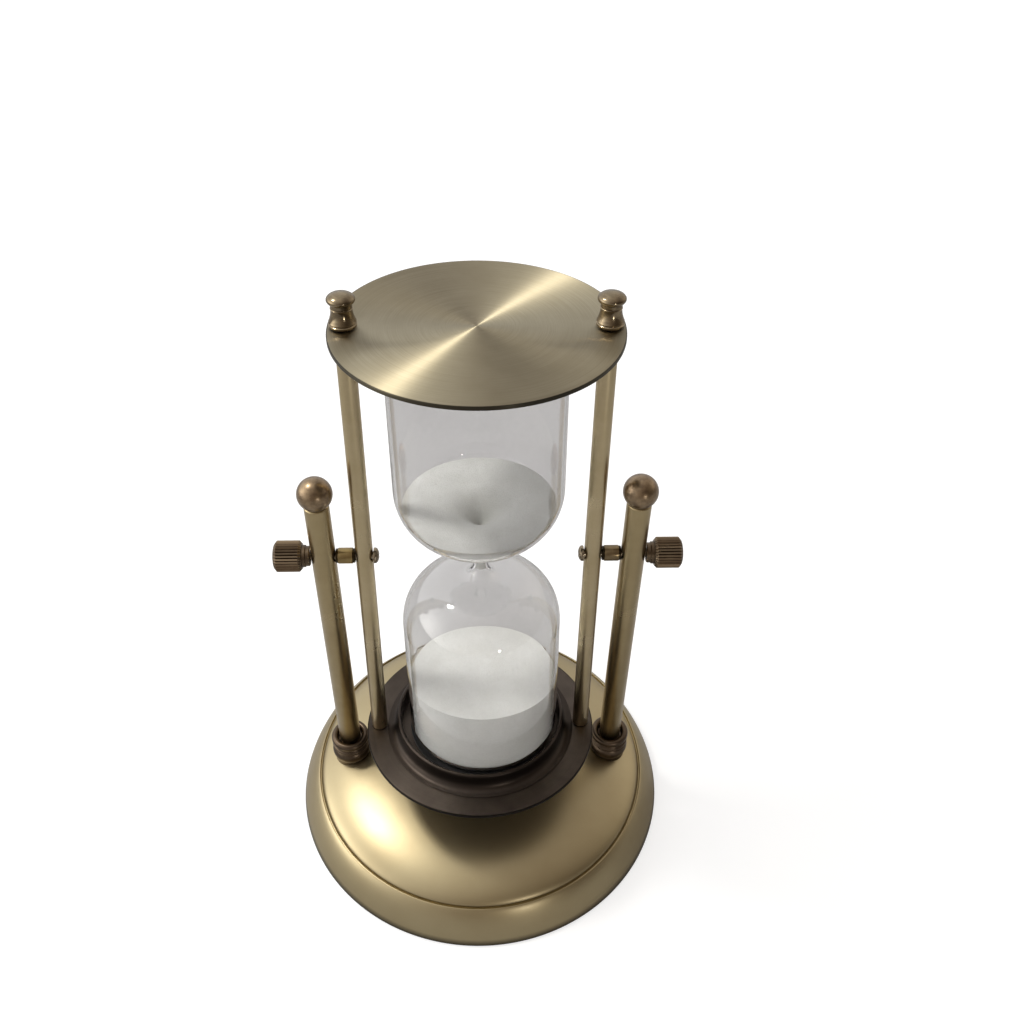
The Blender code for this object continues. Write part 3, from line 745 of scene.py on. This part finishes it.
def screw_outline():
    crown = arc((0, head_seat - HEAD_RIM), HEAD_RADIUS, head_seat - HEAD_RIM - screw_low.x, 0, -90, 12)
    tip = [(0, screw_high.x), (SHANK_RADIUS - 0.4 * MM, screw_high.x),
           (SHANK_RADIUS, screw_high.x - 0.4 * MM)]
    return tip + [(SHANK_RADIUS, head_seat), (HEAD_RADIUS, head_seat)] + crown[:-1] + [(0, screw_low.x)]


for side in posts_apart:
    screw = turned(f"{side}_screw", screw_outline(), 64, 0.06 * MM)
    for quarter in (math.pi / 4, -math.pi / 4):
        bpy.ops.object.select_all(action="DESELECT")
        bpy.ops.mesh.primitive_cube_add(size=1.0, location=(0, 0, screw_low.x), rotation=(0, 0, quarter))
        blade = bpy.context.object
        blade.scale = (RECESS_LENGTH, RECESS_WIDTH, 2 * RECESS_DEPTH)
        cut(screw, blade)
    settle(screw, pivot, across(side))
    dulled = brass(f"screw_brass_{side}", SCREW_LIGHT, SCREW_DARK, 0.24, pivot, across(side), lines=0.2,
                   patches=500.0, worn=0.6, shade_and_patina=0.9)
    dress(screw, dulled, "stand", "antique_brass", f"{side}_pivot_screw")

# ---- The cage: rods ------------------------------------------
# Two straight brass rods join the plates, each with a threaded stud at both ends and a cross hole at the
# middle for the pivot screw. The cage rests with its top leaning away from the viewer.
ROD_STUD = 1.8 * MM
ROD_STUD_LENGTH = 5.0 * MM
ROD_LIGHT = (0.55, 0.455, 0.285)
ROD_DARK = (0.46, 0.37, 0.215)
SHEET_THICKNESS = 1.3 * MM

top_centre = sum(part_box("top_plate"), Vector()) / 2
bottom_centre = sum(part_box("bottom_plate"), Vector()) / 2
cage_axis = top_centre - bottom_centre
cage_turn = (-math.atan2(cage_axis.y, cage_axis.z), 0, 0)
cage_half = (cage_axis.length + SHEET_THICKNESS) / 2
plate_inside = cage_half - SHEET_THICKNESS
rods_apart = {side: sum(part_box(f"{side}_rod"), Vector()).x / 2 for side in posts_apart}


def in_cage(x, z):
    """The place in the room of a point that is given on the cage's own axes."""
    return Vector(pivot) + Matrix.Rotation(cage_turn[0], 3, "X") @ Vector((x, 0, z))


def rod_outline():
    """The rod with a ring of points either side of its cross hole, and a chamfered stud at each end."""
    half = plate_inside - 0.3 * MM
    end = cage_half + ROD_STUD_LENGTH
    upper = [(0, end), (ROD_STUD - 0.3 * MM, end), (ROD_STUD, end - 0.3 * MM), (ROD_STUD, half),
             (rod_radius, half), (rod_radius, 2.4 * MM)]
    return upper + [(radius, -height) for radius, height in reversed(upper)]


for side, rod_x in rods_apart.items():
    rod = turned(f"{side}_cage_rod", rod_outline(), 64, 0.1 * MM)
    drill(rod, BORE_RADIUS, 20 * MM, (0, 0, 0), (0, math.pi / 2, 0))
    settle(rod, in_cage(rod_x, 0), cage_turn)
    drawn = brass(f"rod_brass_{side}", ROD_LIGHT, ROD_DARK, 0.29, in_cage(rod_x, 0), cage_turn, lines=0.12,
                  patches=60.0, worn=0.0, shade_and_patina=0.0, lacquer=0.2)
    dress(rod, drawn, "frame", "antique_brass", f"{side}_rod")

# ---- The cage: plates ----------------------------------------
# Two discs of 1.3 mm brass sheet, brushed round and round on a turntable, with a hole for each rod's stud.
# The upper one is satin and bright, and the lower one has been left dark.
PLATE_EDGE = 0.22 * MM
RIM_INSET = 1.2 * MM
UPPER_LIGHT = (0.44, 0.385, 0.27)
UPPER_DARK = (0.36, 0.31, 0.205)
LOWER_LIGHT = (0.105, 0.085, 0.069)
LOWER_DARK = (0.065, 0.052, 0.043)

plate_radius = (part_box("top_plate")[1].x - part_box("top_plate")[0].x) / 2
plate_height = cage_half - SHEET_THICKNESS / 2


def make_plate(name, height):
    """A drilled disc with a ring inset in each face, so that its broken edges shade cleanly."""
    bpy.ops.object.select_all(action="DESELECT")
    bpy.ops.mesh.primitive_cylinder_add(vertices=LATHE_STEPS, radius=plate_radius, depth=SHEET_THICKNESS,
                                        location=(0, 0, 0))
    plate = bpy.context.object
    plate.name = name
    bpy.ops.object.mode_set(mode="EDIT")
    bpy.ops.mesh.select_mode(type="FACE")
    bpy.ops.mesh.select_all(action="DESELECT")
    bpy.ops.object.mode_set(mode="OBJECT")
    for face in plate.data.polygons:
        face.select = abs(face.normal.z) > 0.9
    bpy.ops.object.mode_set(mode="EDIT")
    bpy.ops.mesh.inset(thickness=RIM_INSET, use_individual=True)
    bpy.ops.object.mode_set(mode="OBJECT")
    soften(plate, PLATE_EDGE)
    for rod_x in rods_apart.values():
        drill(plate, ROD_STUD + 0.3 * MM, 6 * MM, (rod_x, 0, 0))
    bpy.ops.object.shade_smooth_by_angle(angle=math.radians(30))
    return settle(plate, in_cage(0, height), cage_turn)


# A thin band at each plate's rim, painted near black.
rim = (plate_radius - 0.45 * MM, plate_radius - 0.2 * MM)
upper_plate = make_plate("upper_plate", plate_height)
turntable_brass = brass("turntable_brass", UPPER_LIGHT, UPPER_DARK, 0.48, in_cage(0, plate_height), cage_turn,
                        lines=1.2, stretch=1.0, patches=25.0, worn=0.2, lacquer=0.2, dark_band=rim)
dress(upper_plate, turntable_brass, "frame", "antique_brass", "top_plate")
lower_plate = make_plate("lower_plate", -plate_height)
dark_sheet_brass = brass("dark_sheet_brass", LOWER_LIGHT, LOWER_DARK, 0.40, in_cage(0, -plate_height),
                         cage_turn, lines=0.6, stretch=0.7, patches=60.0, worn=0.5, dark_band=rim)
dress(lower_plate, dark_sheet_brass, "frame", "dark_brass", "bottom_plate")

# ---- The cage: cup rings -------------------------------------
# A spun ring soldered inside each plate holds the end of the glass: a rolled lip, and a side that flares
# out to a broad foot. Both are dark, with a soft sheen on the flare.
CUP_BORE = 30.4 * MM
CUP_HEIGHT = 7.0 * MM
CUP_FOOT = 36.0 * MM
CUP_LIP = 0.8 * MM
CUP_FLARE = 3.0
CUP_LIGHT = (0.056, 0.044, 0.037)
CUP_DARK = (0.035, 0.028, 0.023)


def cup_outline():
    base = plate_inside - 0.3 * MM
    lip = base - CUP_HEIGHT
    middle = CUP_BORE + CUP_LIP
    rim = arc((middle, lip + CUP_LIP), CUP_LIP, CUP_LIP, 180, 350, 12)
    flare = []
    for i in range(1, 13):
        share = i / 12
        flare.append((middle + CUP_LIP + (CUP_FOOT - middle - CUP_LIP) * share ** CUP_FLARE,
                      lip + CUP_LIP + (CUP_HEIGHT - 1.2 * CUP_LIP) * math.sin(share * math.pi / 2)))
    ring = [(CUP_BORE, base)] + rim + flare + [(CUP_FOOT, base)]
    return ring + ring[:1]


for end, node, turn in (("upper", "top_cup_ring", 0.0), ("lower", "bottom_cup_ring", math.pi)):
    cup_turn = (cage_turn[0] + turn, 0, 0)
    cup = settle(turned(f"{end}_cup", cup_outline(), 144, 0.1 * MM), pivot, cup_turn)
    dark_spun = brass(f"dark_spun_brass_{end}", CUP_LIGHT, CUP_DARK, 0.38, pivot, cup_turn, lines=0.4,
                      patches=60.0, worn=0.5)
    dress(cup, dark_spun, "frame", "dark_brass", node)

# ---- The cage: end nuts --------------------------------------
# A turned and polished vase-shaped nut on each rod stud clamps the plate: grooved foot, waisted body and
# a lens-shaped cap.
FINIAL_RADIUS = 4.2 * MM
FINIAL_HEIGHT = 10.44 * MM
FINIAL_CAP = 2.0 * MM
FINIAL_HOLE_DEPTH = 5.5 * MM
FINIAL_LIGHT = (0.36, 0.285, 0.18)
FINIAL_DARK = (0.15, 0.115, 0.075)


def finial_outline():
    foot = cage_half + 0.3 * MM
    cap = foot + FINIAL_HEIGHT - FINIAL_CAP
    hole = ROD_STUD + 0.3 * MM
    waist = FINIAL_RADIUS - 1.0 * MM
    start = [(0, foot + FINIAL_HOLE_DEPTH), (hole, foot + FINIAL_HOLE_DEPTH), (hole, foot),
             (FINIAL_RADIUS - 0.25 * MM, foot), (FINIAL_RADIUS, foot + 0.25 * MM),
             (FINIAL_RADIUS, foot + 0.75 * MM)]
    groove = arc((FINIAL_RADIUS + 0.05 * MM, foot + 1.1 * MM), 0.38 * MM, 0.3 * MM, 250, 110, 6)
    flare = []
    for i in range(13):
        share = i / 12
        flare.append((waist + 0.95 * MM * (1 - share) ** 1.9, foot + (1.5 + 3.9 * share) * MM))
    neck = arc((FINIAL_RADIUS - 0.75 * MM, foot + 5.95 * MM), 0.35 * MM, 0.3 * MM, 250, 130, 5)
    top = arc((0, cap), FINIAL_RADIUS + 0.05 * MM, FINIAL_CAP, -42, 90, 22)
    return start + groove + flare + neck + top[:-1] + [(0, cap + FINIAL_CAP)]


for end, turn in (("top", 0.0), ("bottom", math.pi)):
    for side, rod_x in rods_apart.items():
        nut_turn = (cage_turn[0] + turn, 0, 0)
        finial = settle(turned(f"{end}_{side}_end_nut", finial_outline(), 72), in_cage(rod_x, 0), nut_turn)
        polished = brass(f"polished_brass_{end}_{side}", FINIAL_LIGHT, FINIAL_DARK, 0.18, in_cage(rod_x, 0),
                         nut_turn, lines=0.8, patches=260.0, worn=0.5, shade_and_patina=0.9)
        dress(finial, polished, "frame", "polished_brass", f"{end}_{side}_finial")

# ---- Felt pads behind the glass ------------------------------
# A disc of black felt between each end of the glass and its plate, so that the glass is held without
# touching metal. The cage squeezes its edge a little rounder than its face.
PAD_EDGE = 0.4 * MM
PAD_THICKNESS = 1.1 * MM

pad_radius = (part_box("top_cushion_pad")[1].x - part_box("top_cushion_pad")[0].x) / 2
pad_high = plate_inside - 0.3 * MM
pad_low = pad_high - PAD_THICKNESS
pad_outline = ([(0, pad_high)]
               + arc((pad_radius - PAD_EDGE, pad_high - PAD_EDGE), PAD_EDGE, PAD_EDGE, 90, 0, 4)
               + arc((pad_radius - PAD_EDGE, pad_low + PAD_EDGE), PAD_EDGE, PAD_EDGE, 0, -90, 4)
               + [(0, pad_low)])
for end, node, turn in (("upper", "top_cushion_pad", 0.0), ("lower", "bottom_cushion_pad", math.pi)):
    pad = settle(turned(f"{end}_felt_pad", pad_outline, 96), pivot, (cage_turn[0] + turn, 0, 0))
    dress(pad, black_felt, "frame", "black_felt", node)

# ---- The glass -----------------------------------------------
# One tube of clear glass, drawn down over a flame to a narrow neck between two bulbs, with flat rounded
# ends and a filler hole at the upper one. It stands half a degree askew in its cups.
VIAL_WALL = 0.9 * MM
VIAL_HALF = 85.0 * MM
VIAL_CORNER = 6.0 * MM
SHOULDER_HEIGHT = 30.0 * MM
SHOULDER_RISE = 20.5 * MM
NECK_RADIUS = 2.5 * MM
NECK_ROUND = 6.0 * MM
FILLER_RADIUS = 3.5 * MM
VIAL_SEAT = 50.0 * MM
VIAL_TILT = math.radians(-0.55)

vial_radius = (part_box("glass_vial")[1].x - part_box("glass_vial")[0].x) / 2


def bulb_side(wall):
    """The side of a bulb from the neck to its end, moved in by a thickness."""
    radius = vial_radius - wall
    crook = NECK_RADIUS + NECK_ROUND
    low = SHOULDER_HEIGHT - SHOULDER_RISE
    throat = arc((crook, low - NECK_ROUND), NECK_ROUND + wall, NECK_ROUND + wall, 180, 90, 12)
    shoulder = []
    for i in range(1, 29):
        angle = math.pi / 2 * i / 28
        shoulder.append((crook + (radius - crook) * math.sin(angle),
                         SHOULDER_HEIGHT - (SHOULDER_RISE - wall) * math.cos(angle)))
    bend = VIAL_CORNER - wall
    corner = arc((vial_radius - VIAL_CORNER, VIAL_HALF - VIAL_CORNER), bend, bend, 0, 90, 12)
    return [(NECK_RADIUS - wall, 0)] + throat + shoulder + corner


def upside_down(points):
    """An outline of the upper bulb turned over for the lower one."""
    return [(radius, -height) for radius, height in reversed(points)]


def vial_outline():
    """Up the outside from the closed end to the filler hole, and back down the inside."""
    outside = bulb_side(0.0)
    inside = bulb_side(VIAL_WALL)
    outer = [(0, -VIAL_HALF)] + upside_down(outside) + outside[1:] + [(FILLER_RADIUS, VIAL_HALF)]
    inner = [(FILLER_RADIUS, VIAL_HALF - VIAL_WALL)] + inside[::-1] + upside_down(inside)[::-1][1:]
    return outer + inner + [(0, -VIAL_HALF + VIAL_WALL)]


def clear_glass():
    """Faintly smoky soda glass with the slow ripple of a drawn tube. Lamps shine through it."""
    material, tree, shader = new_material("drawn_glass")
    place = object_place(tree, pivot, cage_turn)
    stretched = tree.nodes.new("ShaderNodeVectorMath")
    stretched.operation = "MULTIPLY"
    stretched.inputs[1].default_value = (1.0, 1.0, 0.25)
    tree.links.new(place, stretched.inputs[0])
    ripple = noise(tree, stretched.outputs["Vector"], 60.0, 2.0)
    dust = noise(tree, place, 500.0, 4.0, 0.7)
    dust_and_shade = ranged(tree, dust, 0.45, 0.75, 0.0, 1.0)
    tone = blended(tree, dust_and_shade, (0.970, 0.966, 0.975), (0.94, 0.937, 0.945))
    tree.links.new(tone, shader.inputs["Base Color"])
    tree.links.new(ranged(tree, dust, 0.55, 0.80, 0.0, 0.05), shader.inputs["Roughness"])
    shader.inputs["IOR"].default_value = 1.48
    shader.inputs["Transmission Weight"].default_value = 1.0
    bumped(tree, shader, ripple, 0.25, 0.0004)
    output = tree.nodes["Material Output"]
    path = tree.nodes.new("ShaderNodeLightPath")
    clear = tree.nodes.new("ShaderNodeBsdfTransparent")
    clear.inputs["Color"].default_value = (0.98, 0.98, 0.98, 1.0)
    mix = tree.nodes.new("ShaderNodeMixShader")
    tree.links.new(path.outputs["Is Shadow Ray"], mix.inputs[0])
    tree.links.new(shader.outputs[0], mix.inputs[1])
    tree.links.new(clear.outputs[0], mix.inputs[2])
    tree.links.new(mix.outputs[0], output.inputs["Surface"])
    return material


def settle_in_cage(piece):
    """The glass and what is in it lean together, about a point in the upper bulb, and then with the cage."""
    turn = Matrix.Rotation(VIAL_TILT, 3, "Y")
    seat = Vector((0, 0, VIAL_SEAT))
    settle(piece, seat - turn @ seat, (0, VIAL_TILT, 0))
    return settle(piece, pivot, cage_turn)


vial = settle_in_cage(turned("vial", vial_outline(), 144))
dress(vial, clear_glass(), "frame", "clear_glass", "glass_vial")

# ---- The stopper ---------------------------------------------
# A tapered cork, pushed into the filler hole once the sand was weighed in. Its ends are chamfered, and
# the felt pad hides it.
CORK_BELOW_GLASS = 0.3 * MM
CORK_LENGTH = 5.7 * MM


def cork_bark():
    material, tree, shader = new_material("cork_bark")
    place = object_place(tree)
    cells = tree.nodes.new("ShaderNodeTexVoronoi")
    cells.inputs["Scale"].default_value = 1300.0
    tree.links.new(place, cells.inputs["Vector"])
    pores = noise(tree, place, 800.0, 5.0, 0.7)
    inside_cell = ranged(tree, cells.outputs["Distance"], 0.0, 0.7, 0.0, 1.0)
    tone = blended(tree, inside_cell, (0.40, 0.26, 0.15), (0.62, 0.45, 0.28))
    tone = blended(tree, ranged(tree, pores, 0.58, 0.68, 0.0, 1.0), tone, (0.14, 0.08, 0.045))
    tree.links.new(tone, shader.inputs["Base Color"])
    shader.inputs["Roughness"].default_value = 0.9
    bumped(tree, shader, pores, 0.6, 0.0002)
    return material


stopper_radius = (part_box("vial_stopper")[1].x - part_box("vial_stopper")[0].x) / 2
stopper_top = VIAL_HALF - CORK_BELOW_GLASS
stopper_end = stopper_top - CORK_LENGTH
stopper_outline = [(0, stopper_top), (stopper_radius - 0.4 * MM, stopper_top),
                   (stopper_radius, stopper_top - 0.4 * MM),
                   (stopper_radius - 0.3 * MM, stopper_end + 0.4 * MM),
                   (stopper_radius - 0.8 * MM, stopper_end), (0, stopper_end)]
stopper = settle_in_cage(turned("cork_stopper", stopper_outline, 48))
dress(stopper, cork_bark(), "frame", "cork", "vial_stopper")

# ---- The sand ------------------------------------------------
# Fine white quartz sand. Above, it has sunk to a crater over the neck; below, it lies in a low heap,
# higher towards the viewer.
SAND_GAP = 0.05 * MM
UPPER_EDGE = 22.6 * MM
UPPER_BOWL = 2.4 * MM
UPPER_PIT = 9.5 * MM
PIT_SHARE = 0.22
PLUG_DEPTH = 6 * MM
# Painted shade in the crater: the point where it is darkest, and how far it reaches.
CRATER_SHADE_MIDDLE = (2.5 * MM, 3.0 * MM, 13.5 * MM)
CRATER_SHADE_REACH = 12 * MM
LOWER_BACK = -60.6 * MM
LOWER_FRONT = -53.2 * MM
LOWER_CREST = 2.56 * MM
SAND_RINGS = 26
SAND_RIM = 1 * MM


def white_sand():
    """Sharp fine grains, white to pale grey, with painted shade darkening the hollows and the crater."""
    material, tree, shader = new_material("quartz_sand")
    place = object_place(tree, pivot, cage_turn)
    grains = tree.nodes.new("ShaderNodeTexVoronoi")
    grains.inputs["Scale"].default_value = 2600.0
    tree.links.new(place, grains.inputs["Vector"])
    drifts = noise(tree, place, 90.0, 4.0)
    tone = blended(tree, ranged(tree, drifts, 0.35, 0.65, 0.0, 1.0), (0.74, 0.75, 0.73), (0.68, 0.69, 0.665))
    between = ranged(tree, grains.outputs["Distance"], 0.1, 0.9, 0.0, 0.45)
    tone = blended(tree, between, tone, (0.50, 0.505, 0.475))
    # Painted shade: the sand's hollows, the crater's most of all, are painted darker.
    hollow = tree.nodes.new("ShaderNodeNewGeometry").outputs["Pointiness"]
    tone = blended(tree, ranged(tree, hollow, 0.46, 0.497, 0.85, 0.0), tone, (0.24, 0.24, 0.205))
    # Painted shade: a dark patch round a point in the crater, darkest in the middle and fading out over its
    # reach.
    reach = tree.nodes.new("ShaderNodeVectorMath")
    reach.operation = "DISTANCE"
    reach.inputs[1].default_value = CRATER_SHADE_MIDDLE
    tree.links.new(place, reach.inputs[0])
    dust_and_shade = ranged(tree, reach.outputs["Value"], 1 * MM, CRATER_SHADE_REACH, 0.62, 0.0)
    tone = blended(tree, dust_and_shade, tone, (0.27, 0.27, 0.235))
    tree.links.new(tone, shader.inputs["Base Color"])
    shader.inputs["Roughness"].default_value = 0.92
    shader.inputs["Specular IOR Level"].default_value = 0.3
    bumped(tree, shader, grains.outputs["Distance"], 0.5, 0.00018)
    return material


quartz_sand = white_sand()


def ring_by_ring(sand, rises):
    """The flat top is inset again and again, rising or sinking a little each time."""
    bpy.ops.object.select_all(action="DESELECT")
    sand.select_set(True)
    bpy.context.view_layer.objects.active = sand
    bpy.ops.object.mode_set(mode="EDIT")
    step = (vial_radius - VIAL_WALL) / (len(rises) + 0.7)
    for rise in rises:
        bpy.ops.mesh.inset(thickness=step, depth=rise)
    bpy.ops.mesh.poke()
    bpy.ops.object.mode_set(mode="OBJECT")


def level_sand(name, outline, height, slope):
    """A turned solid that fills the bulb, with its top sliced off along a plane that rises towards -Y."""
    sand = turned(name, outline, 144)
    bpy.ops.object.mode_set(mode="EDIT")
    bpy.ops.mesh.select_all(action="SELECT")
    bpy.ops.mesh.bisect(plane_co=(0, 0, height), plane_no=(0, slope, 1), use_fill=True, clear_outer=True)
    bpy.ops.mesh.select_mode(type="FACE")
    bpy.ops.mesh.select_all(action="DESELECT")
    bpy.ops.object.mode_set(mode="OBJECT")
    for face in sand.data.polygons:
        face.select = len(face.vertices) > 60
    return sand


def grown(sand, size, strength):
    """Slow unevenness over the sand's free surface."""
    clouds = bpy.data.textures.new(sand.name, "CLOUDS")
    clouds.noise_scale = size
    displace = sand.modifiers.new("uneven", "DISPLACE")
    displace.texture = clouds
    displace.texture_coords = "LOCAL"
    displace.strength = strength
    displace.mid_level = 0.5
    displace.direction = "Z"
    displace.vertex_group = "free_surface"
    apply_modifier(sand, displace)


def mark_surface(sand):
    """Names the points of the top that lie clear of the glass, for the displacement."""
    edge = vial_radius - VIAL_WALL - SAND_RIM
    group = sand.vertex_groups.new(name="free_surface")
    for vertex in sand.data.vertices:
        inward = edge - math.hypot(vertex.co.x, vertex.co.y)
        if vertex.normal.z > 0.5 and inward > 0:
            group.add([vertex.index], min(1.0, inward / (4 * MM)), "REPLACE")


sand_side = [(r - SAND_GAP, z + SAND_GAP) for r, z in bulb_side(VIAL_WALL)]


def crater(share):
    """The surface's depth at a share of the way from the glass to the middle: a bowl with a pit in it."""
    return UPPER_BOWL * share ** 1.6 + UPPER_PIT * math.exp(-(((1 - share) / PIT_SHARE) ** 1.1))


plug = [(r, -z) for r, z in reversed(sand_side) if 0 < z < PLUG_DEPTH]
upper_fill = [(0, plug[0][1])] + plug + [(r, z) for r, z in sand_side if 0 < z < 40 * MM] + [(0, 40 * MM)]
upper_sand = level_sand("upper_sand_heap", upper_fill, UPPER_EDGE, 0.0)
ring_by_ring(upper_sand, [crater(i / SAND_RINGS) - crater((i + 1) / SAND_RINGS) for i in range(SAND_RINGS)])
mark_surface(upper_sand)
grown(upper_sand, 14 * MM, 1.1 * MM)
bpy.ops.object.shade_smooth_by_angle(angle=math.radians(50))
settle_in_cage(upper_sand)
dress(upper_sand, quartz_sand, "frame", "white_sand", "upper_sand")

lower_fill = [(0, -20 * MM)] + [(r, -z) for r, z in sand_side if z > 20 * MM]
lower_fill += [(0, lower_fill[-1][1])]
lower_sand = level_sand("lower_sand_heap", lower_fill, (LOWER_BACK + LOWER_FRONT) / 2,
                        (LOWER_FRONT - LOWER_BACK) / (2 * (vial_radius - VIAL_WALL)))
ring_by_ring(lower_sand, [LOWER_CREST * math.sin(math.pi * (i + 1) / SAND_RINGS) / SAND_RINGS
                          for i in range(SAND_RINGS)])
mark_surface(lower_sand)
grown(lower_sand, 18 * MM, 0.9 * MM)
bpy.ops.object.shade_smooth_by_angle(angle=math.radians(50))
settle_in_cage(lower_sand)
dress(lower_sand, quartz_sand, "frame", "white_sand", "lower_sand")
